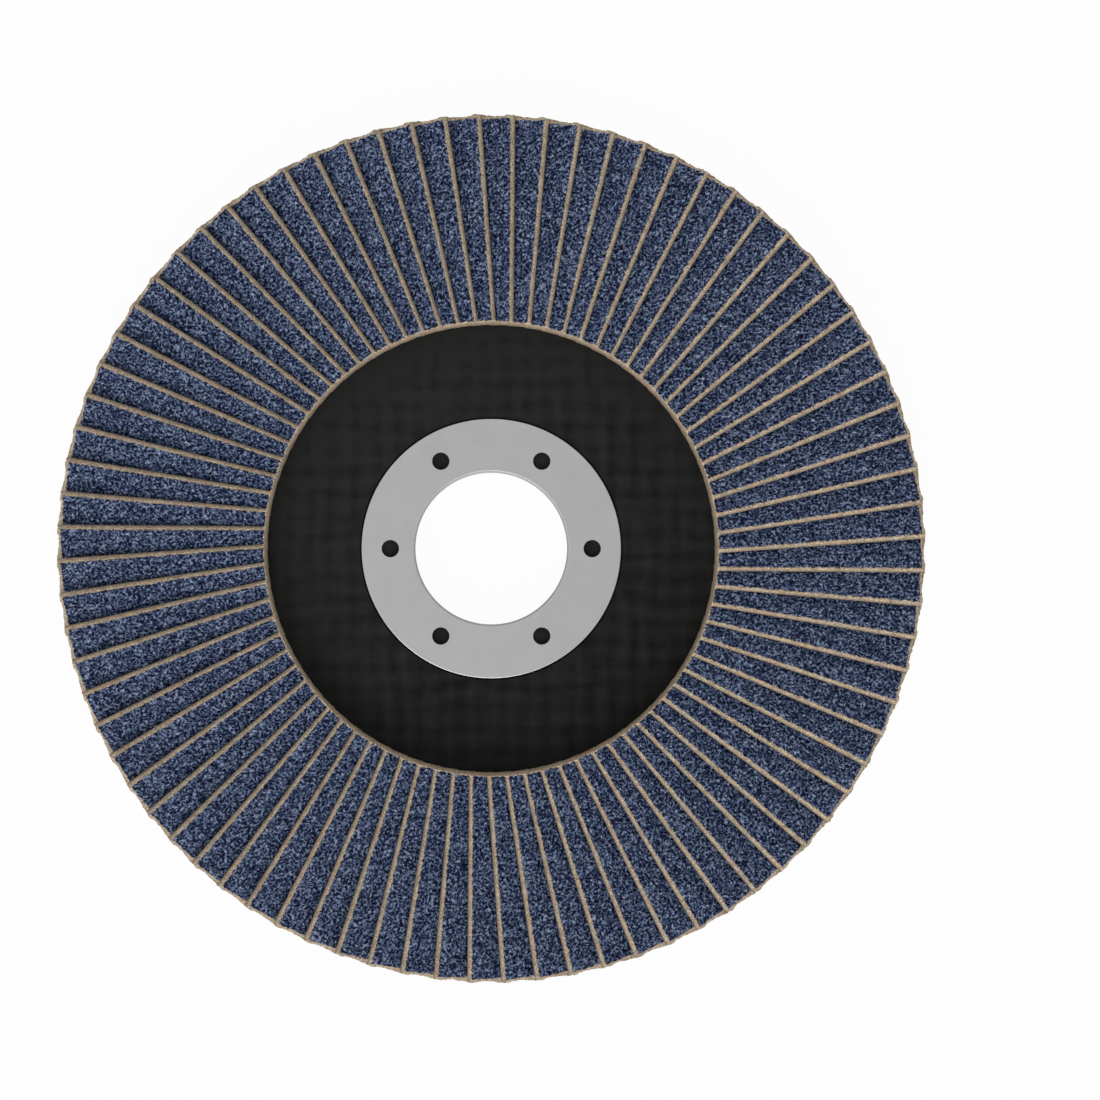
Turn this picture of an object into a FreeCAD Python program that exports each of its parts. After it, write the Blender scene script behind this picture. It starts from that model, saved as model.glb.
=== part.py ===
import FreeCAD, Part
import math
import os

from FreeCAD import Vector

# Flap disc for an angle grinder, in millimetres.
# The origin is on the bore's axis at the back of the hub. +Z points to the abrasive side.

# Sizes of the whole disc
disc_diameter = 125.0
bore_diameter = 22.23
opening_diameter = 64.2

# Coated cloth flaps
flap_count = 80
flap_width = 17.0
flap_thickness = 0.8
lead_offset = 2.62
nest_gap = 0.03
first_flap_angle = 0.446
flaps_per_group = 2

# Backing plate
plate_thickness = 3.0
plate_overhang = 4.0
rim_taper = 0.6
hub_pad_diameter = 48.0
hub_pad_height = 3.5
shoulder_run = 3.5
plateau_diameter = 50.6
plateau_height = 0.2
plateau_slope = 1.7

# Steel arbor ring
flange_diameter = 37.5
flange_thickness = 1.0
flange_proud = 0.5
flange_taper = 0.1
collar_wall = 0.8
lip_reach = 0.5
lip_rise = 0.8
ring_hole_count = 6
ring_hole_diameter = 2.5
ring_hole_circle = 29.0
ring_clearance = 0.1

# Adhesive bed
film_thickness = 0.3
bed_setback = 2.5
bed_margin = 1.5
tooth_inset = 0.8

# Levels and radii that follow from the sizes above
pitch_angle = 360.0 / flap_count
plate_radius = disc_diameter / 2 - plate_overhang
opening_radius = opening_diameter / 2
bore_radius = bore_diameter / 2
collar_radius = bore_radius + collar_wall
plate_bore_radius = collar_radius + ring_clearance
flange_radius = flange_diameter / 2
pocket_radius = flange_radius + ring_clearance
plate_front = hub_pad_height + plate_thickness
plateau_front = plate_front + plateau_height
flange_front = plateau_front + flange_proud
pocket_floor = flange_front - flange_thickness
flap_seat = plate_front + film_thickness

AXIS = Vector(0, 0, 1)
CENTRE = Vector(0, 0, 0)


def flap_tilt():
    """Angle at which neighbouring flaps just clear each other at their closest corner."""
    pitch = math.radians(pitch_angle)
    reach = flap_width - lead_offset
    along = math.sqrt(opening_radius ** 2 - reach ** 2)
    step = along * math.sin(pitch) - reach * (1 - math.cos(pitch))
    return math.asin((flap_thickness + nest_gap) / step)


def profile_point(start, down_slope, below):
    """Point of a flap's section, measured from its top leading corner."""
    tilt = flap_tilt()
    across = start[0] - down_slope * math.cos(tilt) + below * math.sin(tilt)
    height = start[1] - down_slope * math.sin(tilt) - below * math.cos(tilt)
    return across, height


def leading_corner():
    """Top corner of the leading edge, placed so that the flap stands on the film."""
    tilt = flap_tilt()
    rise = flap_width * math.sin(tilt) + flap_thickness * math.cos(tilt)
    return lead_offset, flap_seat + rise


def prism(corners, start, end):
    """Extrude a section, given as (across, height) corners, from start to end along a flap."""
    points = [Vector(across, start, height) for across, height in corners]
    face = Part.Face(Part.makePolygon(points + points[:1]))
    return face.extrude(Vector(0, end - start, 0))


def flap_length():
    """Distance from the axis to the outer end, so that its corner is on the disc's rim."""
    trailing = profile_point(leading_corner(), flap_width, 0)[0]
    return math.sqrt((disc_diameter / 2) ** 2 - trailing ** 2)


def opening_point(down_slope):
    """Point of a flap's upper face that lies on the round opening, seen from the front."""
    across, height = profile_point(leading_corner(), down_slope, 0)
    return Vector(across, math.sqrt(opening_radius ** 2 - across ** 2), height)


def make_flap():
    """Strip of coated cloth with a round inner end, extruded down from its grain side."""
    lead_inner = opening_point(0)
    trail_inner = opening_point(flap_width)
    lead_outer = Vector(lead_inner.x, flap_length(), lead_inner.z)
    trail_outer = Vector(trail_inner.x, flap_length(), trail_inner.z)
    outline = Part.Wire([
        Part.Arc(lead_inner, opening_point(flap_width / 2), trail_inner).toShape(),
        Part.makeLine(trail_inner, trail_outer),
        Part.makeLine(trail_outer, lead_outer),
        Part.makeLine(lead_outer, lead_inner),
    ])
    tilt = flap_tilt()
    down = Vector(math.sin(tilt), 0, -math.cos(tilt))
    return Part.Face(outline).extrude(down * flap_thickness)


def stepped(shape, steps):
    """Copy of a shape, moved clockwise round the disc by a number of flaps."""
    copy = shape.copy()
    copy.rotate(CENTRE, AXIS, -steps * pitch_angle)
    return copy


def on_disc(shape, index):
    """Copy of a shape that is drawn along +Y, at its flap's place on the disc."""
    copy = stepped(shape, index)
    copy.rotate(CENTRE, AXIS, -first_flap_angle)
    return copy


def revolved(section):
    """Turn a closed section of (radius, height) corners about the axis."""
    points = [Vector(radius, 0, height) for radius, height in section]
    face = Part.Face(Part.makePolygon(points + points[:1]))
    return face.revolve(CENTRE, AXIS, 360)


def make_backing_plate():
    """Laminate disc with a raised hub pad behind and a seat for the steel ring in front."""
    hub_radius = hub_pad_diameter / 2
    plateau_radius = plateau_diameter / 2
    flare_radius = collar_radius + lip_reach + ring_clearance
    return revolved([
        (flare_radius, 0),
        (hub_radius, 0),
        (hub_radius + shoulder_run, hub_pad_height),
        (plate_radius - rim_taper, hub_pad_height),
        (plate_radius, plate_front),
        (plateau_radius + plateau_slope, plate_front),
        (plateau_radius, plateau_front),
        (pocket_radius, plateau_front),
        (pocket_radius, pocket_floor),
        (plate_bore_radius, pocket_floor),
        (plate_bore_radius, lip_rise + ring_clearance),
    ])


def make_arbor_ring():
    """Flanged collar whose back end is spread into the plate's countersink."""
    ring = revolved([
        (bore_radius, 0),
        (collar_radius + lip_reach, 0),
        (collar_radius, lip_rise),
        (collar_radius, pocket_floor),
        (flange_radius, pocket_floor),
        (flange_radius - flange_taper, flange_front),
        (bore_radius, flange_front),
    ])
    for index in range(ring_hole_count):
        angle = math.radians(index * 360.0 / ring_hole_count)
        reach = ring_hole_circle / 2
        foot = Vector(reach * math.cos(angle), reach * math.sin(angle), 0)
        ring = ring.cut(Part.makeCylinder(ring_hole_diameter / 2, 2 * flange_front, foot, AXIS))
    return ring


def make_tooth(inner, outer):
    """Resin under one flap, as far as the trailing end of the next flap clockwise."""
    start = leading_corner()
    half = flap_width / 2
    foot = profile_point(start, flap_width, flap_thickness)
    begin = inner + tooth_inset
    end = math.sqrt((outer - tooth_inset) ** 2 - foot[0] ** 2)
    far = profile_point(start, half, flap_thickness)
    wedge = prism([foot, (far[0], foot[1]), far], begin, end)
    ahead = prism([
        profile_point(start, flap_width, -half),
        profile_point(start, flap_width, half),
        profile_point(start, half, half),
        profile_point(start, half, -half),
    ], 0, disc_diameter / 2)
    return wedge.cut(stepped(ahead, 1))


def make_adhesive_bed():
    """Film of resin on the plate, with a tooth that fills the wedge under each flap."""
    inner = opening_radius + bed_setback
    outer = plate_radius - bed_margin
    film = revolved([
        (inner, plate_front),
        (outer, plate_front),
        (outer, flap_seat),
        (inner, flap_seat),
    ])
    tooth = make_tooth(inner, outer)
    return film.fuse([on_disc(tooth, index) for index in range(flap_count)])


def group_name(first, last):
    return f"flaps_{first + 1:02d}_{last + 1:02d}"


def flap_groups():
    """Neighbouring flaps in groups, each a node of separate solids."""
    flap = make_flap()
    groups = {}
    for first in range(0, flap_count, flaps_per_group):
        members = range(first, min(first + flaps_per_group, flap_count))
        shapes = [on_disc(flap, index) for index in members]
        groups[group_name(members[0], members[-1])] = Part.makeCompound(shapes)
    return groups


def write_parts():
    os.makedirs("parts", exist_ok=True)
    nodes = {
        "backing_plate": make_backing_plate(),
        "arbor_ring": make_arbor_ring(),
        "adhesive_bed": make_adhesive_bed(),
    }
    nodes.update(flap_groups())
    for name, shape in nodes.items():
        shape.exportStep(f"parts/{name}.step")
        solids = len(shape.Solids)
        print(name, "solids", solids, "valid", shape.isValid(), "volume", round(shape.Volume, 2))


write_parts()
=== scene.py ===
import math

import bpy
from mathutils import Matrix, Vector


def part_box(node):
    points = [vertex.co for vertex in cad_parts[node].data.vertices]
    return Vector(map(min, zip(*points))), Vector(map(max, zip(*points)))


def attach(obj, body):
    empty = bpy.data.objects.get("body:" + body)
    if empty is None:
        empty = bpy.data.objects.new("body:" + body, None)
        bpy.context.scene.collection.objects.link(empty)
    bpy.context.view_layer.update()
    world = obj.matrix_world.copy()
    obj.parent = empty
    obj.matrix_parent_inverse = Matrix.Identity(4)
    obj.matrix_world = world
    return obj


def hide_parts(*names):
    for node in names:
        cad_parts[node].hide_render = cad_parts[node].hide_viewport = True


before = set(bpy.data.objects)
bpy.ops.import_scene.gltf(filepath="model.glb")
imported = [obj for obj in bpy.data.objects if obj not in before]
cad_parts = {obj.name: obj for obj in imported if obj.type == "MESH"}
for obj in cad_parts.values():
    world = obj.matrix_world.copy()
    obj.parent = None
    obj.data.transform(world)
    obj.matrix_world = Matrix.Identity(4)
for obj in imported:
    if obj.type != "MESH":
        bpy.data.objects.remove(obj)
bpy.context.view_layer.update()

# Finish of a 125 mm flap disc: coated cloth flaps, laminate plate, steel ring and resin bed.
# Lengths are in metres. The bore's axis is Z, and the abrasive side faces up.

MM = 0.001

# Levels and reaches read from the frame
FLAP_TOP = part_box("flaps_01_02")[1][2]
RING_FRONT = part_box("arbor_ring")[1][2]
RING_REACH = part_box("arbor_ring")[1][0]
PLATE_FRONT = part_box("backing_plate")[1][2]
PLATE_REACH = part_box("backing_plate")[1][0]

# Lay of the flaps
FLAP_COUNT = 80
PITCH = 2 * math.pi / FLAP_COUNT
FIRST_TURN = math.radians(0.446)
FLAP_WIDTH = 17.0 * MM
FLAP_THICKNESS = 0.8 * MM
LEAD_OFFSET = 2.62 * MM
NEST_GAP = 0.03 * MM
OPENING_RADIUS = 32.1 * MM
DISC_RADIUS = 62.5 * MM

# Mesh of one flap: a fine grid, as wide at each end as what shows, and steps down the cut edges
FACE_DROP = 0.12 * MM
SHOWN_INNER = 2.9 * MM
SHOWN_OUTER = 5.6 * MM
CUTS_ALONG = 146
CUTS_ACROSS = 21
INNER_ALLOWANCE = 29.5 * MM
EDGE_STEPS = (0.34 * MM, 0.17 * MM, 0.17 * MM)
OPENING_SEGMENTS = 720

# Modelling: small distances, smoothing and the cuts of turned pieces
HAIR = 0.01 * MM
SAME_PLACE = 0.001 * MM
MERGE_DISTANCE = 0.002 * MM
SMOOTH_ANGLE = math.radians(35)
TURN_SEGMENTS = 256
ROUNDING_STEPS = 4
FLAT_MARGIN = 0.04 * MM

# Steel ring
BORE_RADIUS = 11.115 * MM
COLLAR_RADIUS = 11.915 * MM
LIP_REACH = 0.5 * MM
LIP_RISE = 0.8 * MM
FLANGE_THICKNESS = 1.0 * MM
FLANGE_TAPER = 0.1 * MM
RING_CLEARANCE = 0.1 * MM
RING_HOLE_RADIUS = 1.25 * MM
RING_HOLE_REACH = 14.5 * MM
RING_HOLE_COUNT = 6
RING_HOLE_SEGMENTS = 48
BORE_BACK_ROUNDING = 0.1 * MM
BORE_FRONT_ROUNDING = 0.16 * MM
THROAT_ROUNDING = 0.15 * MM
FLANGE_BACK_ROUNDING = 0.08 * MM
DEBURRING = 0.12 * MM

# Backing plate, which the ring is pressed into
HUB_PAD_RADIUS = 24.0 * MM
HUB_PAD_HEIGHT = 3.5 * MM
SHOULDER_RUN = 3.5 * MM
RIM_TAPER = 0.6 * MM
PLATEAU_HEIGHT = 0.2 * MM
PLATEAU_EDGE = 24.0 * MM
PLATEAU_FOOT = 29.5 * MM
PLATEAU_STEPS = 10
COUNTERSINK_ROUNDING = 0.08 * MM
HUB_ROUNDING = 0.8 * MM
SHOULDER_ROUNDING = 1.2 * MM
TAPER_ROUNDING = 0.5 * MM
RIM_ROUNDING = 0.3 * MM
POCKET_ROUNDING = 0.1 * MM

# Relief of grain and cut cloth
GRAIN_RELIEF = 0.11 * MM
CLOTH_RELIEF = 0.035 * MM
FRAY = 0.14 * MM
LEAD_ROUNDING = 0.28 * MM
END_ROUNDING = 0.16 * MM
CORNER_ROUNDING = 0.6 * MM
CORNER_SEGMENTS = 3
END_CUTS = 24
LONG_CELL = 5 * MM
GRAIN_FROM_EDGE = 0.28 * MM
GRAIN_FROM_END = 0.32 * MM
GRAIN_FROM_OPENING = 0.04 * MM

# Camera, worked out for a picture of 1100 by 1100 pixels
PICTURE_SIZE = 1100
DISC_CENTRE_PX = (491.25, 548.62)
CAMERA_HEIGHT = 0.3435
FOCAL_LENGTH_PX = 2341.0
SENSOR_WIDTH = 36.0

# Lights, and a white floor
WORLD_LIGHT = 0.71
BRIGHT_SIDE = (-0.7, 1.0, 0.0)
MOST_LEAN = 0.12
KEY_STRENGTH = 1.22
KEY_SPREAD = math.radians(50)
KEY_AZIMUTH = math.radians(193)
KEY_ELEVATION = math.radians(48)
FLOOR_SIZE = 3.0
FLOOR_COLOUR = (0.8, 0.8, 0.8, 1)
FLOOR_WHITE = (1, 1, 1, 1)
FLOOR_SHARE = 0.965


def linear(red, green, blue):
    """Linear colour of an eight-bit display colour."""
    values = []
    for level in (red, green, blue):
        share = level / 255
        if share <= 0.04045:
            values.append(share / 12.92)
        else:
            values.append(((share + 0.055) / 1.055) ** 2.4)
    return (*values, 1.0)


# Shader nodes: the level that noise lies about, and a mix node's sockets for values and colours
NOISE_MIDDLE = 0.5
MIX_VALUE_INPUTS = (0, 2, 3)
MIX_VALUE_OUTPUT = 0
MIX_COLOUR_INPUTS = (0, 6, 7)
MIX_COLOUR_OUTPUT = 2

# Grain: noise for the grains and for pale strokes between them, which are painted glints, sized in
# millimetres
GRAIN_NOISE = {"scale": 2.7, "detail": 0.0, "distortion": 0.5}
GLINT_STROKE_NOISE = {"scale": 2.0, "detail": 0.0, "distortion": 0.4}
GLINT_STROKE_SHARPNESS = 7.5
GRAIN_SHARE = 0.73
GLINT_STROKE_SHARE = 0.3
# Blue of the grains; the palest stops, which the pale strokes reach, are painted glints
GRAIN_AND_GLINT_COLOURS = [
    (0.28, linear(4, 10, 36)),
    (0.41, linear(36, 48, 79)),
    (0.5, linear(64, 77, 106)),
    (0.58, linear(93, 106, 134)),
    (0.71, linear(128, 141, 167)),
    (0.82, linear(162, 173, 196)),
]

# Cut cloth: noise for fibres, knots and dye, sized in millimetres
FIBRE_NOISE = {"scale": 4.8, "detail": 2.0, "roughness": 0.6}
KNOT_NOISE = {"scale": 0.9, "detail": 1.0}
DYE_NOISE = {"scale": 0.6, "detail": 1.0}
FIBRE_SHARE = 0.8
KNOT_SHARE = 0.2
CLOTH_COLOURS = [
    (0.34, linear(133, 121, 107)),
    (0.5, linear(184, 171, 153)),
    (0.64, linear(226, 211, 188)),
]
DYE_TINTS = [
    (0.38, linear(251, 249, 241)),
    (0.62, linear(255, 241, 229)),
]

# Borders of the grain as (limit, softness). Numbers set against a flap's attributes are in
# millimetres, as those are.
BORDER_NOISE = {"scale": 2600.0, "detail": 2.0}
BORDER_WANDER = 0.6
BORDER_SPREAD = 0.003
EDGE_BORDER = (0.38, 0.14)
END_BORDER = (0.28, 0.1)
OPENING_BORDER = (0.03, 0.06)
FACE_DEPTH = 0.16

# Cut edges: a painted highlight on the rolled upper edge, painted shade at the foot of the leading side,
# and painted light and shade down the wall of the opening
ROLL_WIDTH = 0.45
ROLL_DEPTH = 0.38 * MM
# Painted highlight: the cloth is made paler towards the rolled upper edge of each cut
ROLL_PAINTED_HIGHLIGHT = (1.34, 1.34, 1.34, 1)
SIDE_REACH = 0.12
FOOT_START = 0.1
FOOT_RUN = 0.6
# Painted shade: the cloth is made darker towards the foot of each leading side
FOOT_SHADE_STRENGTH = 0.8
FOOT_SHADE_COLOUR = linear(100, 88, 76)
WALL_REACH = 0.12
WALL_FOOT = 7.5 * MM
# Painted light and shade down the wall of the opening: darker at its foot, lighter above
WALL_PAINTED_LIGHT = [
    (0.0, (0.8, 0.77, 0.75, 1)),
    (0.35, (1.18, 1.17, 1.15, 1)),
    (0.65, (1.53, 1.53, 1.53, 1)),
    (1.0, (1.37, 1.37, 1.37, 1)),
]
CLOTH_FINISH = {"Roughness": 0.6, "Specular_IOR_Level": 0.1}
CLOTH_BUMP = {"distance": 0.12 * MM, "strength": 0.5}

# Laminate: the weave of its glass cloth under black resin, sized in metres. The painted light that
# lifts the shade next to the flaps is measured in millimetres from the axis.
WEAVE_PITCH = 3.1 * MM
WEAVE_WARP = {"scale": 110.0, "detail": 1.0}
WEAVE_DRIFT = (0.8, 0.8, 0.0)
WEAVE_RESIN = {"scale": 520.0, "detail": 3.0, "roughness": 0.6}
RESIN_TONE = 0.8
RESIN_HEIGHT = 0.2
THREADS = (("X", (900.0, 160.0, 0.0)), ("Y", (160.0, 900.0, 0.0)))
THREAD_NOISE = {"scale": 1.0, "detail": 1.0}
THREAD_TONE = 0.5
PATCH_NOISE = {"scale": 0.35, "detail": 1.0}
PATCH_START = 0.25
PATCH_GAIN = 2.0
BAND_TONE = 0.26
BAND_HEIGHT = 0.2
CLOUD_NOISE = {"scale": 90.0, "detail": 3.0}
CLOUD_TONE = 0.3
# Painted light: the laminate is made lighter towards -X and +Y, up to a limit
PAINTED_SIDE_LIGHT_SLOPE = (-5.0, 9.5, 0.0)
MOST_PAINTED_SIDE_LIGHT = 0.34
# Painted light: the plate is made lighter next to the flaps, where their wall shades it
NEAR_FLAPS_LIGHT_START = 25.0
NEAR_FLAPS_LIGHT_RUN = 7.0
NEAR_FLAPS_LIGHT_TONE = 0.28
PORE_NOISE = {"scale": 900.0, "detail": 2.0}
PORE_HEIGHT = 0.2
LAMINATE_COLOURS = [
    (0.0, (0.001, 0.001, 0.001, 1)),
    (1.0, (0.0175, 0.0175, 0.0173, 1)),
]
LAMINATE_FINISH = {"Roughness": 0.5, "Specular_IOR_Level": 0.12}
LAMINATE_BUMP = {"distance": 0.05 * MM, "strength": 0.6}

# Steel of the ring, and the pale matt wall of its bore, in millimetres from the bore
STEEL_CLOUDS = {"scale": 250.0, "detail": 4.0, "roughness": 0.6}
STEEL_SATIN = {"scale": 2500.0, "detail": 2.0}
CLOUDS_SHARE = 0.6
SATIN_SHARE = 0.4
STEEL_COLOURS = [(0.35, linear(180, 179, 179)), (0.65, linear(186, 185, 185))]
BORE_WALL_COLOUR = linear(206, 204, 202)
BORE_WALL_DEPTH = 0.08
BORE_WALL_SOFTNESS = 0.06
STEEL_SPECULAR = 0.5
STEEL_ROUGHNESS = 0.3
STEEL_BUMP = {"distance": 0.01 * MM, "strength": 0.3}

# Resin
RESIN_CLOUDS = {"scale": 400.0, "detail": 3.0}
RESIN_COLOURS = [(0.35, linear(58, 40, 26)), (0.65, linear(86, 60, 36))]
RESIN_ROUGHNESS = 0.35
RESIN_BUMP = {"distance": 0.1 * MM, "strength": 0.4}


# Small helpers for modelling by operators

def start_clean():
    """Deselect everything, so that an operator acts on the new piece alone."""
    if bpy.context.object and bpy.context.object.mode != "OBJECT":
        bpy.ops.object.mode_set(mode="OBJECT")
    bpy.ops.object.select_all(action="DESELECT")


def focus(piece):
    """Make a piece the active one, and the only one selected."""
    start_clean()
    piece.select_set(True)
    bpy.context.view_layer.objects.active = piece


def drop_selection(kind):
    """Leave edit mode with nothing selected, ready to pick parts of this kind."""
    bpy.ops.object.mode_set(mode="EDIT")
    bpy.ops.mesh.select_mode(type=kind)
    bpy.ops.mesh.select_all(action="DESELECT")
    bpy.ops.object.mode_set(mode="OBJECT")


def choose_vertices(piece, wanted):
    """Select in edit mode the vertices for which wanted(place) is true."""
    drop_selection("VERT")
    for vertex in piece.data.vertices:
        vertex.select = wanted(vertex.co)
    bpy.ops.object.mode_set(mode="EDIT")


def choose_edges(piece, wanted):
    """Select in edit mode the edges for which wanted(first end, second end) is true."""
    drop_selection("EDGE")
    places = [vertex.co.copy() for vertex in piece.data.vertices]
    for edge in piece.data.edges:
        first, second = edge.vertices
        edge.select = wanted(places[first], places[second])
    bpy.ops.object.mode_set(mode="EDIT")


def cut_away(piece, cutter):
    """Cut the cutter's shape out of a piece, and remove the cutter."""
    focus(piece)
    modifier = piece.modifiers.new("Cut", "BOOLEAN")
    modifier.operation = "DIFFERENCE"
    modifier.solver = "EXACT"
    modifier.object = cutter
    bpy.ops.object.modifier_apply(modifier=modifier.name)
    bpy.data.objects.remove(cutter, do_unlink=True)


def bake_place(piece, place):
    """Move a piece by a matrix and keep its object at the origin."""
    focus(piece)
    piece.matrix_world = place
    bpy.ops.object.transform_apply(location=True, rotation=True, scale=True)


# Lay of a flap, the same as on the solid disc

def flap_tilt():
    """Angle at which neighbouring flaps just clear each other at their closest corner."""
    reach = FLAP_WIDTH - LEAD_OFFSET
    along = math.sqrt(OPENING_RADIUS ** 2 - reach ** 2)
    step = along * math.sin(PITCH) - reach * (1 - math.cos(PITCH))
    return math.asin((FLAP_THICKNESS + NEST_GAP) / step)


def flap_reach():
    """Distance of the flaps' outer end from the axis, measured along the flap."""
    trailing = LEAD_OFFSET - FLAP_WIDTH * math.cos(flap_tilt())
    return math.sqrt(DISC_RADIUS ** 2 - trailing ** 2)


def flap_place():
    """Seat of the flap that lies along +Y, from flat with its leading edge on the Y axis."""
    return Matrix.Translation((LEAD_OFFSET, 0, FLAP_TOP)) @ Matrix.Rotation(-flap_tilt(), 4, "Y")


def near(value, target):
    """True for two measures that name the same place on a piece."""
    return abs(value - target) < SAME_PLACE


# Pieces of revolution

def rounded(corners):
    """Section of (radius, height) points, from corners given as (radius, height, rounding)."""
    points = []
    for index, (radius, height, rounding) in enumerate(corners):
        corner = Vector((radius, height))
        if rounding == 0:
            points.append(corner)
            continue
        before = Vector(corners[index - 1][:2]) - corner
        after = Vector(corners[(index + 1) % len(corners)][:2]) - corner
        start = corner + before.normalized() * rounding
        end = corner + after.normalized() * rounding
        points.append(start + before.normalized() * FLAT_MARGIN)
        for step in range(ROUNDING_STEPS + 1):
            share = step / ROUNDING_STEPS
            points.append(start.lerp(corner, share).lerp(corner.lerp(end, share), share))
        points.append(end + after.normalized() * FLAT_MARGIN)
    return points


def turned(name, section):
    """Turn a closed section about the axis, one ring of edges after another."""
    start_clean()
    first = section[0]
    bpy.ops.mesh.primitive_circle_add(
        vertices=TURN_SEGMENTS, radius=first.x, location=(0, 0, first.y))
    piece = bpy.context.object
    piece.name = name
    piece.data.name = name
    bpy.ops.object.transform_apply(location=True, rotation=True, scale=True)
    bpy.ops.object.mode_set(mode="EDIT")
    bpy.ops.mesh.select_mode(type="EDGE")
    bpy.ops.mesh.select_all(action="SELECT")
    for before, after in zip(section, section[1:] + section[:1]):
        growth = after.x / before.x
        bpy.ops.mesh.extrude_edges_move(TRANSFORM_OT_translate={"value": (0, 0, after.y - before.y)})
        bpy.ops.transform.resize(value=(growth, growth, 1), center_override=(0, 0, 0))
    bpy.ops.mesh.select_all(action="SELECT")
    bpy.ops.mesh.remove_doubles(threshold=MERGE_DISTANCE)
    bpy.ops.mesh.normals_make_consistent(inside=False)
    bpy.ops.object.mode_set(mode="OBJECT")
    return piece


def finish_piece(piece, node, material):
    """Smooth a piece between its sharp edges and let it stand for a node of the frame."""
    focus(piece)
    bpy.ops.object.shade_smooth_by_angle(angle=SMOOTH_ANGLE)
    piece.data.materials.append(material)
    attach(piece, "root")
    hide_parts(node)


def make_arbor_ring(material):
    """Flanged collar with a rolled bore edge and six round holes."""
    shelf = RING_FRONT - FLANGE_THICKNESS
    ring = turned("arbor_ring_steel", rounded([
        (BORE_RADIUS, 0, BORE_BACK_ROUNDING),
        (COLLAR_RADIUS + LIP_REACH, 0, DEBURRING),
        (COLLAR_RADIUS, LIP_RISE, THROAT_ROUNDING),
        (COLLAR_RADIUS, shelf, 0),
        (RING_REACH, shelf, FLANGE_BACK_ROUNDING),
        (RING_REACH - FLANGE_TAPER, RING_FRONT, DEBURRING),
        (BORE_RADIUS, RING_FRONT, BORE_FRONT_ROUNDING),
    ]))
    for index in range(RING_HOLE_COUNT):
        angle = index * 2 * math.pi / RING_HOLE_COUNT
        cut_ring_hole(ring, RING_HOLE_REACH * math.cos(angle), RING_HOLE_REACH * math.sin(angle))
    finish_piece(ring, "arbor_ring", material)


def cut_ring_hole(ring, x, y):
    """Cut one round hole through the flange."""
    start_clean()
    bpy.ops.mesh.primitive_cylinder_add(
        vertices=RING_HOLE_SEGMENTS, radius=RING_HOLE_RADIUS, depth=2 * RING_FRONT,
        location=(x, y, RING_FRONT))
    cut_away(ring, bpy.context.object)


def plateau_points():
    """Gentle fall from the raised middle of the plate to the flaps' seat, level at both ends."""
    points = []
    for step in range(PLATEAU_STEPS + 1):
        share = step / PLATEAU_STEPS
        radius = PLATEAU_FOOT + (PLATEAU_EDGE - PLATEAU_FOOT) * share
        rise = PLATEAU_HEIGHT * share * share * (3 - 2 * share)
        points.append((radius, PLATE_FRONT - PLATEAU_HEIGHT + rise, 0))
    return points


def make_backing_plate(material):
    """Moulded laminate disc with rounded hub, shoulder and rim."""
    seat = PLATE_FRONT - PLATEAU_HEIGHT
    pocket = RING_REACH + RING_CLEARANCE
    pocket_floor = RING_FRONT - FLANGE_THICKNESS
    bore = COLLAR_RADIUS + RING_CLEARANCE
    plate = turned("backing_plate_laminate", rounded([
        (bore + LIP_REACH, 0, COUNTERSINK_ROUNDING),
        (HUB_PAD_RADIUS, 0, HUB_ROUNDING),
        (HUB_PAD_RADIUS + SHOULDER_RUN, HUB_PAD_HEIGHT, SHOULDER_ROUNDING),
        (PLATE_REACH - RIM_TAPER, HUB_PAD_HEIGHT, TAPER_ROUNDING),
        (PLATE_REACH, seat, RIM_ROUNDING),
        *plateau_points(),
        (pocket, PLATE_FRONT, POCKET_ROUNDING),
        (pocket, pocket_floor, 0),
        (bore, pocket_floor, POCKET_ROUNDING),
        (bore, LIP_RISE + RING_CLEARANCE, 0),
    ]))
    finish_piece(plate, "backing_plate", material)


# One flap

def flat_flap():
    """Flat strip with a fine grid where it stays in sight and long cells where it is covered."""
    start_clean()
    reach = flap_reach()
    length = reach - INNER_ALLOWANCE
    middle = (reach + INNER_ALLOWANCE) / 2
    bpy.ops.mesh.primitive_plane_add(size=1, location=(-SHOWN_OUTER / 2, middle, -FACE_DROP))
    flap = bpy.context.object
    flap.scale = (SHOWN_OUTER, length, 1)
    bpy.ops.object.transform_apply(location=True, rotation=True, scale=True)
    choose_vertices(flap, lambda co: near(co.x, -SHOWN_OUTER) and near(co.y, INNER_ALLOWANCE))
    bpy.ops.transform.translate(value=(SHOWN_OUTER - SHOWN_INNER, 0, 0))
    choose_edges(flap, lambda a, b: near(a.x, 0) == near(b.x, 0))
    bpy.ops.mesh.subdivide(number_cuts=CUTS_ALONG)
    choose_edges(flap, lambda a, b: near(a.y, b.y))
    bpy.ops.mesh.subdivide(number_cuts=CUTS_ACROSS)
    choose_edges(flap, lambda a, b: is_shown_limit(a) and is_shown_limit(b))
    bpy.ops.mesh.extrude_edges_move()
    bpy.ops.transform.resize(value=(0, 1, 1), center_override=(-FLAP_WIDTH, 0, 0))
    bpy.ops.object.mode_set(mode="OBJECT")
    return flap


def is_shown_limit(co):
    """True on the slanting line between the shown grid and the covered cells."""
    share = (co.y - INNER_ALLOWANCE) / (flap_reach() - INNER_ALLOWANCE)
    width = SHOWN_INNER + share * (SHOWN_OUTER - SHOWN_INNER)
    return near(co.x, -width)


def thicken(flap):
    """Pull the cut edges down in steps and close the back."""
    focus(flap)
    bpy.ops.object.mode_set(mode="EDIT")
    bpy.ops.mesh.select_all(action="SELECT")
    bpy.ops.mesh.select_mode(type="EDGE")
    bpy.ops.mesh.region_to_loop()
    for step in EDGE_STEPS:
        bpy.ops.mesh.extrude_edges_move(TRANSFORM_OT_translate={"value": (0, 0, -step)})
    bpy.ops.mesh.edge_face_add()
    bpy.ops.mesh.select_all(action="SELECT")
    bpy.ops.mesh.normals_make_consistent(inside=False)
    bpy.ops.object.mode_set(mode="OBJECT")


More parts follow.
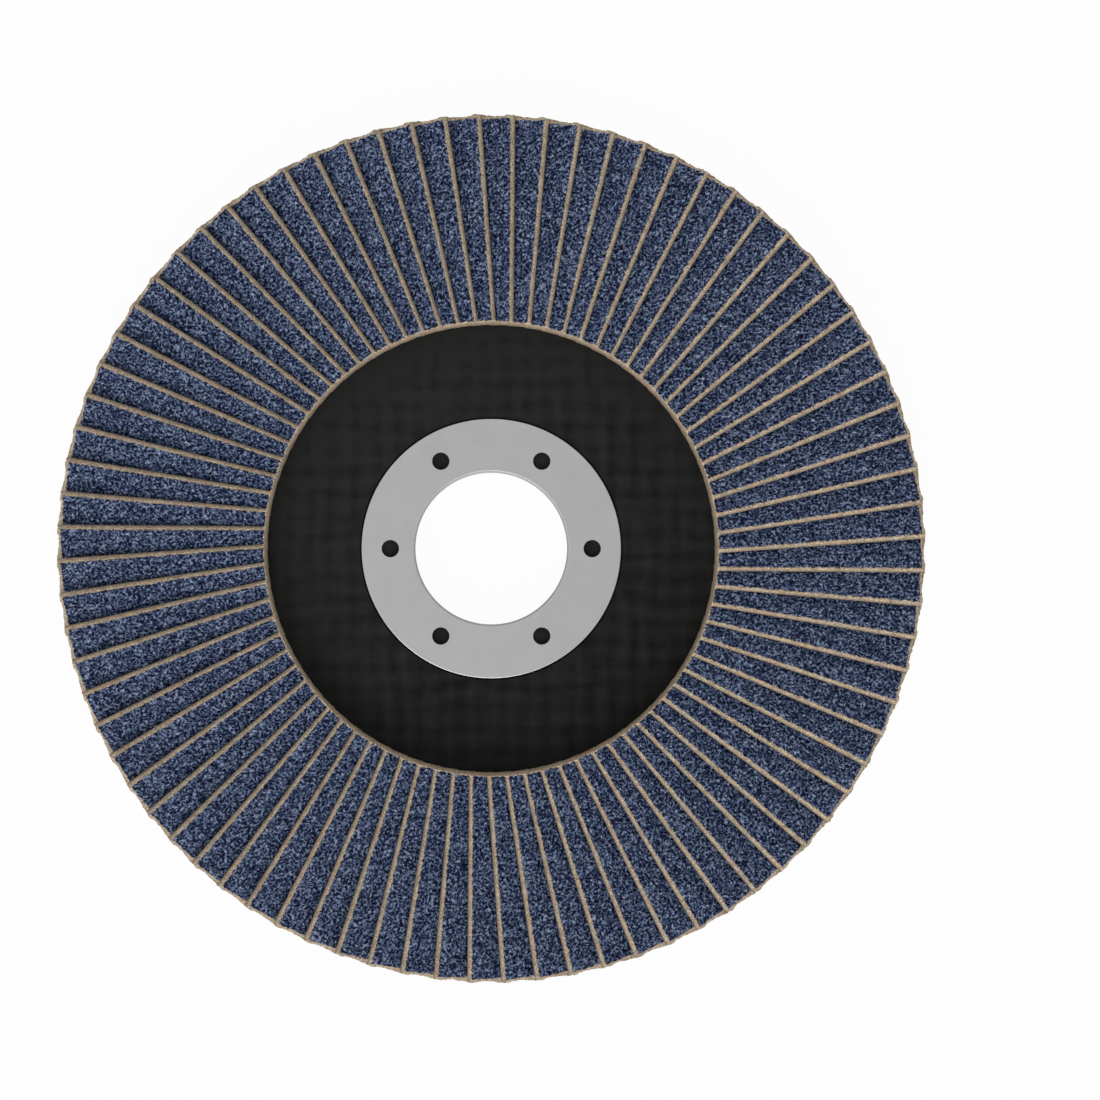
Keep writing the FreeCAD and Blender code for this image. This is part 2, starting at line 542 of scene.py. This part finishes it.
def soften_cuts(flap):
    """Round the upper edge of the cuts and the trailing outer corner."""
    reach = flap_reach()

    def on_face(co):
        return near(co.z, -FACE_DROP)

    def at_end(co):
        return near(co.y, reach)

    def outer_corner(co):
        return near(co.x, -FLAP_WIDTH) and at_end(co)

    choose_vertices(flap, lambda co: on_face(co) and near(co.x, 0))
    bpy.ops.transform.translate(value=(0, 0, -LEAD_ROUNDING))
    choose_vertices(flap, lambda co: on_face(co) and at_end(co))
    bpy.ops.transform.translate(value=(0, 0, -END_ROUNDING))
    choose_edges(flap, lambda a, b: outer_corner(a) and outer_corner(b))
    bpy.ops.mesh.bevel(offset=CORNER_ROUNDING, segments=CORNER_SEGMENTS, affect="EDGES")
    choose_edges(flap, lambda a, b: at_end(a) and at_end(b) and abs(a.x - b.x) > LONG_CELL)
    bpy.ops.mesh.subdivide(number_cuts=END_CUTS)
    bpy.ops.object.mode_set(mode="OBJECT")


def trim_to_opening(flap):
    """Cut the inner end to the round opening."""
    start_clean()
    bpy.ops.mesh.primitive_cylinder_add(
        vertices=OPENING_SEGMENTS, radius=OPENING_RADIUS, depth=4 * FLAP_TOP, location=(0, 0, 0))
    cut_away(flap, bpy.context.object)


def measure_borders(flap):
    """Keep each point's distance from the leading edge, the outer end and the face."""
    back = flap_place().inverted()
    reach = flap_reach()
    mesh = flap.data
    from_edge = mesh.attributes.new("from_edge", "FLOAT", "POINT")
    from_end = mesh.attributes.new("from_end", "FLOAT", "POINT")
    depth = mesh.attributes.new("depth", "FLOAT", "POINT")
    for vertex in mesh.vertices:
        flat = back @ vertex.co
        from_edge.data[vertex.index].value = -flat.x / MM
        from_end.data[vertex.index].value = (reach - flat.y) / MM
        depth.data[vertex.index].value = -flat.z / MM


def make_first_flap():
    """The smooth flap that lies along +Y, which all the others are copied from."""
    flap = flat_flap()
    thicken(flap)
    soften_cuts(flap)
    bake_place(flap, flap_place())
    trim_to_opening(flap)
    measure_borders(flap)
    return flap


def roughen(flap, seed):
    """Raise the grain at random, and fray the cut cloth a little."""
    mesh = flap.data
    edge = [item.value * MM for item in mesh.attributes["from_edge"].data]
    end = [item.value * MM for item in mesh.attributes["from_end"].data]
    depth = [item.value * MM for item in mesh.attributes["depth"].data]
    limit = OPENING_RADIUS + GRAIN_FROM_OPENING
    focus(flap)

    def pick(test):
        drop_selection("VERT")
        for vertex in mesh.vertices:
            vertex.select = test(vertex.index)
        bpy.ops.object.mode_set(mode="EDIT")

    def on_face(i):
        return depth[i] < FACE_DROP + HAIR

    def in_grain(i):
        inside = edge[i] > GRAIN_FROM_EDGE and end[i] > GRAIN_FROM_END
        clear = mesh.vertices[i].co.xy.length > limit
        return inside and clear and on_face(i) and edge[i] < SHOWN_OUTER

    def on_cut(i):
        return not in_grain(i) and edge[i] < SHOWN_OUTER

    def at_outer_end(i):
        return end[i] < HAIR

    pick(at_outer_end)
    bpy.ops.transform.vertex_random(offset=FRAY, uniform=0, normal=0, seed=seed + FLAP_COUNT)
    pick(on_cut)
    bpy.ops.transform.vertex_random(offset=CLOTH_RELIEF, uniform=0, normal=0, seed=seed + 2 * FLAP_COUNT)
    pick(in_grain)
    bpy.ops.transform.vertex_random(offset=GRAIN_RELIEF, uniform=0, normal=1, seed=seed)
    bpy.ops.object.mode_set(mode="OBJECT")


def make_flaps(finish):
    """Eighty flaps, each with its own mesh and its own grain."""
    first = make_first_flap()
    first.data.materials.append(finish)
    for index in range(FLAP_COUNT):
        flap = first.copy()
        flap.data = first.data.copy()
        flap.name = f"flap_{index + 1:02d}"
        flap.data.name = flap.name
        bpy.context.collection.objects.link(flap)
        flap.data.transform(Matrix.Rotation(-FIRST_TURN - index * PITCH, 4, "Z"))
        roughen(flap, index + 1)
        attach(flap, "root")
        pair = index // 2 * 2
        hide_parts(f"flaps_{pair + 1:02d}_{pair + 2:02d}")
    bpy.data.objects.remove(first, do_unlink=True)


# Shader building

def new_material(name):
    """Material with an empty node tree."""
    material = bpy.data.materials.new(name)
    material.use_nodes = True
    material.node_tree.nodes.clear()
    return material


def add_node(tree, kind, **settings):
    node = tree.nodes.new(kind)
    for name, value in settings.items():
        setattr(node, name, value)
    return node


def feed(tree, node, pairs):
    """Set or link a node's inputs, from pairs of a socket's name or number and its value."""
    for socket, value in pairs:
        if isinstance(value, bpy.types.NodeSocket):
            tree.links.new(value, node.inputs[socket])
        elif value is not None:
            node.inputs[socket].default_value = value


def feed_named(tree, node, **values):
    """Set or link a node's inputs by name, with an underscore for each space."""
    feed(tree, node, ((name.replace("_", " "), value) for name, value in values.items()))


def math_node(tree, operation, first, second=None, clamp=False):
    node = add_node(tree, "ShaderNodeMath", operation=operation, use_clamp=clamp)
    feed(tree, node, enumerate((first, second)))
    return node.outputs[0]


def total(tree, first, *others):
    for other in others:
        first = math_node(tree, "ADD", first, other)
    return first


def product(tree, first, *others):
    for other in others:
        first = math_node(tree, "MULTIPLY", first, other)
    return first


def less(tree, value, amount):
    return math_node(tree, "SUBTRACT", value, amount)


def limited(tree, value, most):
    """Value kept between -most and most."""
    return math_node(tree, "MINIMUM", math_node(tree, "MAXIMUM", value, -most), most)


def passed(tree, value, start, run):
    """How much of a run the value has passed, from zero to one."""
    return math_node(tree, "DIVIDE", less(tree, value, start), run, clamp=True)


def swing(tree, noise, strength):
    """Noise moved to lie about zero, times its strength."""
    return product(tree, less(tree, noise, NOISE_MIDDLE), strength)


def vector_node(tree, operation, *inputs, scale=None):
    """Vector maths, which gives a vector, or a value for a length or a dot product."""
    node = add_node(tree, "ShaderNodeVectorMath", operation=operation)
    feed(tree, node, [*enumerate(inputs), ("Scale", scale)])
    return node.outputs["Value" if operation in ("LENGTH", "DOT_PRODUCT") else "Vector"]


def split_node(tree, place):
    """The X, Y and Z of a place."""
    node = add_node(tree, "ShaderNodeSeparateXYZ")
    feed(tree, node, [(0, place)])
    return node.outputs


def ramp_node(tree, factor, stops):
    """Colour ramp with stops given as (position, colour), in rising order."""
    node = add_node(tree, "ShaderNodeValToRGB")
    elements = node.color_ramp.elements
    while len(elements) < len(stops):
        elements.new(0.5)
    for element, (position, colour) in zip(elements, stops):
        element.position = position
        element.color = colour
    feed(tree, node, [("Fac", factor)])
    return node.outputs["Color"]


def mix_colour(tree, factor, first, second, blend="MIX"):
    """Mix two colours, by the sockets that a mix node keeps for colours."""
    node = add_node(tree, "ShaderNodeMix", data_type="RGBA", blend_type=blend)
    feed(tree, node, zip(MIX_COLOUR_INPUTS, (factor, first, second)))
    return node.outputs[MIX_COLOUR_OUTPUT]


def mix_value(tree, factor, first, second):
    """Mix two values, by the sockets that a mix node keeps for values."""
    node = add_node(tree, "ShaderNodeMix", data_type="FLOAT")
    feed(tree, node, zip(MIX_VALUE_INPUTS, (factor, first, second)))
    return node.outputs[MIX_VALUE_OUTPUT]


def noise_node(tree, place, scale, detail, roughness=0.5, distortion=0.0, output="Fac"):
    node = add_node(tree, "ShaderNodeTexNoise")
    feed_named(tree, node, Vector=place, Scale=scale, Detail=detail,
               Roughness=roughness, Distortion=distortion)
    return node.outputs[output]


def bump_node(tree, height, distance, strength=1.0, normal=None):
    node = add_node(tree, "ShaderNodeBump")
    feed_named(tree, node, Strength=strength, Distance=distance, Height=height, Normal=normal)
    return node.outputs["Normal"]


def object_place(tree):
    return add_node(tree, "ShaderNodeTexCoord").outputs["Object"]


def attribute_node(tree, name):
    return add_node(tree, "ShaderNodeAttribute", attribute_name=name).outputs["Fac"]


def from_axis(tree, place):
    """Distance from the bore's axis in millimetres."""
    flat_place = vector_node(tree, "MULTIPLY", place, (1 / MM, 1 / MM, 0.0))
    return vector_node(tree, "LENGTH", flat_place)


def principled(tree, **values):
    shader = add_node(tree, "ShaderNodeBsdfPrincipled")
    feed_named(tree, shader, **values)
    output = add_node(tree, "ShaderNodeOutputMaterial")
    feed_named(tree, output, Surface=shader.outputs["BSDF"])


def new_group(name, inputs, outputs):
    """Node group with sockets given as (name, kind), and its first and last node."""
    group = bpy.data.node_groups.new(name, "ShaderNodeTree")
    for socket, kind in inputs:
        group.interface.new_socket(socket, in_out="INPUT", socket_type=kind)
    for socket, kind in outputs:
        group.interface.new_socket(socket, in_out="OUTPUT", socket_type=kind)
    return group, add_node(group, "NodeGroupInput"), add_node(group, "NodeGroupOutput")


def use_group(tree, group, **values):
    node = add_node(tree, "ShaderNodeGroup", node_tree=group)
    feed_named(tree, node, **values)
    return node.outputs


# Finishes

def make_grain_group():
    """Speckle of packed abrasive grains, with painted glints as worm-like pale strokes over dark gaps.
    """
    group, start, end = new_group(
        "packed_grain",
        [("Place", "NodeSocketVector"), ("Scale", "NodeSocketFloat")],
        [("Color", "NodeSocketColor"), ("Height", "NodeSocketFloat")])
    place = vector_node(group, "SCALE", start.outputs["Place"], scale=start.outputs["Scale"])
    grains = noise_node(group, place, **GRAIN_NOISE)
    # Pale strokes between the grains, which are painted glints
    folds = noise_node(group, place, **GLINT_STROKE_NOISE)
    ridge = math_node(group, "ABSOLUTE", less(group, folds, NOISE_MIDDLE))
    slopes = product(group, ridge, GLINT_STROKE_SHARPNESS)
    glint_stroke = math_node(group, "SUBTRACT", 1.0, slopes, clamp=True)
    level = total(
        group, product(group, grains, GRAIN_SHARE), product(group, glint_stroke, GLINT_STROKE_SHARE))
    feed_named(group, end, Color=ramp_node(group, level, GRAIN_AND_GLINT_COLOURS), Height=level)
    return group


def make_cloth_group():
    """Cut tan cloth with fibre ends, paler knots and darker gaps."""
    group, start, end = new_group(
        "cut_cloth",
        [("Place", "NodeSocketVector"), ("Scale", "NodeSocketFloat")],
        [("Color", "NodeSocketColor"), ("Height", "NodeSocketFloat")])
    place = vector_node(group, "SCALE", start.outputs["Place"], scale=start.outputs["Scale"])
    fibres = noise_node(group, place, **FIBRE_NOISE)
    knots = noise_node(group, place, **KNOT_NOISE)
    level = total(group, product(group, fibres, FIBRE_SHARE), product(group, knots, KNOT_SHARE))
    colour = ramp_node(group, level, CLOTH_COLOURS)
    tint = ramp_node(group, noise_node(group, place, **DYE_NOISE), DYE_TINTS)
    colour = mix_colour(group, 1.0, colour, tint, "MULTIPLY")
    feed_named(group, end, Color=colour, Height=level)
    return group


def grain_cover(tree, place, from_edge, past_opening, depth):
    """One where grain covers the cloth, and nothing along the cuts, with wandering borders."""

    def inside(distance, wander, border):
        return passed(tree, total(tree, distance, wander), *border)

    from_end = attribute_node(tree, "from_end")
    wander = swing(tree, noise_node(tree, place, **BORDER_NOISE), BORDER_WANDER)
    spread = total(tree, wander, product(tree, from_end, BORDER_SPREAD))
    return product(
        tree,
        inside(from_edge, spread, EDGE_BORDER),
        inside(from_end, wander, END_BORDER),
        inside(past_opening, wander, OPENING_BORDER),
        math_node(tree, "LESS_THAN", depth, FACE_DEPTH))


def shade_cuts(tree, colour, place, from_edge, past_opening, depth, roll):
    """Painted light and shade down the opening's wall, a painted highlight on the rolled upper edges and
    painted shade at the feet of the leading sides.
    """
    on_wall = math_node(tree, "LESS_THAN", past_opening, WALL_REACH)
    height = split_node(tree, place)["Z"]
    # Painted light and shade down the wall of the opening
    light = ramp_node(tree, passed(tree, height, WALL_FOOT, FLAP_TOP - WALL_FOOT), WALL_PAINTED_LIGHT)
    colour = mix_colour(tree, on_wall, colour, light, "MULTIPLY")
    # Painted highlight along the rolled upper edge of each cut
    roll_highlight_share = math_node(tree, "SUBTRACT", 1.0, roll)
    colour = mix_colour(tree, roll_highlight_share, colour, ROLL_PAINTED_HIGHLIGHT, "MULTIPLY")
    # Painted shade at the foot of each leading side
    foot = product(
        tree,
        passed(tree, depth, FOOT_START, FOOT_RUN),
        math_node(tree, "LESS_THAN", from_edge, SIDE_REACH),
        math_node(tree, "SUBTRACT", 1.0, on_wall),
        FOOT_SHADE_STRENGTH)
    return mix_colour(tree, foot, colour, FOOT_SHADE_COLOUR)


def make_coated_cloth():
    """Blue grain over tan cloth that is bare along each cut edge."""
    material = new_material("coated_cloth_blue")
    tree = material.node_tree
    place = object_place(tree)
    grain = use_group(tree, make_grain_group(), Place=place, Scale=1 / MM)
    cloth = use_group(tree, make_cloth_group(), Place=place, Scale=1 / MM)
    from_edge = attribute_node(tree, "from_edge")
    depth = attribute_node(tree, "depth")
    past_opening = less(tree, from_axis(tree, place), OPENING_RADIUS / MM)
    cover = grain_cover(tree, place, from_edge, past_opening, depth)
    roll = math_node(tree, "DIVIDE", from_edge, ROLL_WIDTH, clamp=True)
    bare = shade_cuts(tree, cloth["Color"], place, from_edge, past_opening, depth, roll)
    height = mix_value(tree, cover, cloth["Height"], grain["Height"])
    rolled = bump_node(tree, roll, ROLL_DEPTH)
    principled(
        tree, Base_Color=mix_colour(tree, cover, bare, grain["Color"]),
        Normal=bump_node(tree, height, normal=rolled, **CLOTH_BUMP), **CLOTH_FINISH)
    return material


def make_weave_group():
    """Open square weave seen through black resin: soft bands of thread that come and go."""
    group, start, end = new_group(
        "square_weave",
        [("Place", "NodeSocketVector")],
        [("Tone", "NodeSocketFloat"), ("Height", "NodeSocketFloat")])
    place = start.outputs["Place"]
    cells = vector_node(group, "SCALE", place, scale=1 / WEAVE_PITCH)
    warp = noise_node(group, place, output="Color", **WEAVE_WARP)
    drift = split_node(group, vector_node(group, "MULTIPLY_ADD", warp, WEAVE_DRIFT, cells))
    resin = noise_node(group, place, **WEAVE_RESIN)
    tone = product(group, resin, RESIN_TONE)
    height = product(group, resin, RESIN_HEIGHT)
    for axis, threads in THREADS:
        band = math_node(group, "COSINE", product(group, drift[axis], 2 * math.pi))
        streaks = vector_node(group, "MULTIPLY", place, threads)
        thread = noise_node(group, streaks, **THREAD_NOISE)
        patch = noise_node(group, streaks, **PATCH_NOISE)
        show = math_node(group, "MULTIPLY", less(group, patch, PATCH_START), PATCH_GAIN, clamp=True)
        wave = product(group, band, show)
        tone = less(group, tone, product(group, wave, BAND_TONE))
        tone = total(group, tone, swing(group, thread, THREAD_TONE))
        height = less(group, height, product(group, wave, BAND_HEIGHT))
    feed_named(group, end, Tone=tone, Height=height)
    return group


def make_laminate():
    """Black moulded laminate with the open weave of its glass cloth just showing, and painted light that
    makes it lighter towards one side and next to the flaps.
    """
    material = new_material("black_laminate")
    tree = material.node_tree
    place = object_place(tree)
    weave = use_group(tree, make_weave_group(), Place=place)
    clouds = noise_node(tree, place, **CLOUD_NOISE)
    # Painted light, lighter towards one side of the plate
    painted_side_light = limited(tree, vector_node(tree, "DOT_PRODUCT", place, PAINTED_SIDE_LIGHT_SLOPE), MOST_PAINTED_SIDE_LIGHT)
    # Painted light that lifts the shade on the plate next to the flaps' wall
    near_flaps_light = passed(tree, from_axis(tree, place), NEAR_FLAPS_LIGHT_START, NEAR_FLAPS_LIGHT_RUN)
    level = total(
        tree, weave["Tone"], product(tree, clouds, CLOUD_TONE), painted_side_light,
        product(tree, near_flaps_light, NEAR_FLAPS_LIGHT_TONE))
    pores = noise_node(tree, place, **PORE_NOISE)
    height = total(tree, weave["Height"], product(tree, pores, PORE_HEIGHT))
    principled(
        tree, Base_Color=ramp_node(tree, level, LAMINATE_COLOURS),
        Normal=bump_node(tree, height, **LAMINATE_BUMP), **LAMINATE_FINISH)
    return material


def make_ring_steel():
    """Pressed and plated steel with a soft satin grain, and a pale matt wall in the bore."""
    material = new_material("plated_ring_steel")
    tree = material.node_tree
    place = object_place(tree)
    clouds = noise_node(tree, place, **STEEL_CLOUDS)
    satin = noise_node(tree, place, **STEEL_SATIN)
    level = total(
        tree, product(tree, clouds, CLOUDS_SHARE), product(tree, satin, SATIN_SHARE))
    steel = ramp_node(tree, level, STEEL_COLOURS)
    flange = passed(
        tree, from_axis(tree, place), BORE_RADIUS / MM + BORE_WALL_DEPTH, BORE_WALL_SOFTNESS)
    principled(
        tree, Base_Color=mix_colour(tree, flange, BORE_WALL_COLOUR, steel),
        Metallic=flange, Specular_IOR_Level=product(tree, flange, STEEL_SPECULAR),
        Roughness=STEEL_ROUGHNESS, Normal=bump_node(tree, satin, **STEEL_BUMP))
    return material


def make_resin():
    """Cured brown resin, a little cloudy."""
    material = new_material("cured_resin")
    tree = material.node_tree
    clouds = noise_node(tree, object_place(tree), **RESIN_CLOUDS)
    principled(
        tree, Base_Color=ramp_node(tree, clouds, RESIN_COLOURS),
        Roughness=RESIN_ROUGHNESS, Normal=bump_node(tree, clouds, **RESIN_BUMP))
    return material


def dress_node(node, material):
    """Give a node of the frame its finish."""
    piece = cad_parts[node]
    piece.data.materials.clear()
    piece.data.materials.append(material)


# Studio

def seen_directly(tree, paths):
    """One for what the camera sees by itself, in a mirror or through glass."""
    mirrored = math_node(
        tree, "MAXIMUM", paths.outputs["Is Camera Ray"], paths.outputs["Is Glossy Ray"])
    return math_node(tree, "MAXIMUM", mirrored, paths.outputs["Is Transmission Ray"])


def make_floor():
    """White sweep that stays white to the camera and keeps the disc's shadow."""
    start_clean()
    bpy.ops.mesh.primitive_plane_add(size=FLOOR_SIZE, location=(0, 0, 0))
    floor = bpy.context.object
    floor.name = "floor"
    material = new_material("white_floor")
    tree = material.node_tree
    diffuse = add_node(tree, "ShaderNodeBsdfDiffuse")
    feed_named(tree, diffuse, Color=FLOOR_COLOUR)
    glow = add_node(tree, "ShaderNodeEmission")
    feed_named(tree, glow, Color=FLOOR_WHITE, Strength=1.0)
    seen = seen_directly(tree, add_node(tree, "ShaderNodeLightPath"))
    blend = add_node(tree, "ShaderNodeMixShader")
    feed(tree, blend, enumerate((
        product(tree, seen, FLOOR_SHARE), diffuse.outputs["BSDF"], glow.outputs["Emission"])))
    output = add_node(tree, "ShaderNodeOutputMaterial")
    feed_named(tree, output, Surface=blend.outputs["Shader"])
    floor.data.materials.append(material)


def make_world():
    """Even soft light, white where the camera sees it, and brighter to one side in a mirror."""
    world = bpy.data.worlds.new("studio")
    bpy.context.scene.world = world
    world.use_nodes = True
    tree = world.node_tree
    tree.nodes.clear()
    paths = add_node(tree, "ShaderNodeLightPath")
    seen = product(tree, seen_directly(tree, paths), 1 - WORLD_LIGHT)
    towards = add_node(tree, "ShaderNodeTexCoord").outputs["Generated"]
    lean = limited(tree, vector_node(tree, "DOT_PRODUCT", towards, BRIGHT_SIDE), MOST_LEAN)
    slant = product(tree, lean, paths.outputs["Is Glossy Ray"])
    background = add_node(tree, "ShaderNodeBackground")
    feed_named(tree, background, Strength=total(tree, seen, WORLD_LIGHT, slant))
    output = add_node(tree, "ShaderNodeOutputWorld")
    feed_named(tree, output, Surface=background.outputs["Background"])


def make_key_light():
    """Broad soft light from the near side, below the picture's lower edge."""
    light = bpy.data.lights.new("key_light", "SUN")
    light.energy = KEY_STRENGTH
    light.angle = KEY_SPREAD
    lamp = bpy.data.objects.new("key_light", light)
    bpy.context.collection.objects.link(lamp)
    flat = math.cos(KEY_ELEVATION)
    towards = Vector((
        flat * math.sin(KEY_AZIMUTH), flat * math.cos(KEY_AZIMUTH), math.sin(KEY_ELEVATION)))
    lamp.rotation_euler = towards.to_track_quat("Z", "Y").to_euler()


def make_camera():
    """Camera over the bore's axis, with its frame shifted to the picture's framing."""
    camera = bpy.data.cameras.new("camera")
    camera.sensor_width = SENSOR_WIDTH
    camera.lens = SENSOR_WIDTH * FOCAL_LENGTH_PX / PICTURE_SIZE
    camera.shift_x = (PICTURE_SIZE / 2 - DISC_CENTRE_PX[0]) / PICTURE_SIZE
    camera.shift_y = (DISC_CENTRE_PX[1] - PICTURE_SIZE / 2) / PICTURE_SIZE
    holder = bpy.data.objects.new("camera", camera)
    holder.location = (0, 0, CAMERA_HEIGHT)
    bpy.context.collection.objects.link(holder)
    bpy.context.scene.camera = holder


bpy.context.scene.view_settings.view_transform = "Standard"
make_camera()
make_world()
make_key_light()
make_floor()

make_flaps(make_coated_cloth())
make_backing_plate(make_laminate())
make_arbor_ring(make_ring_steel())
dress_node("adhesive_bed", make_resin())
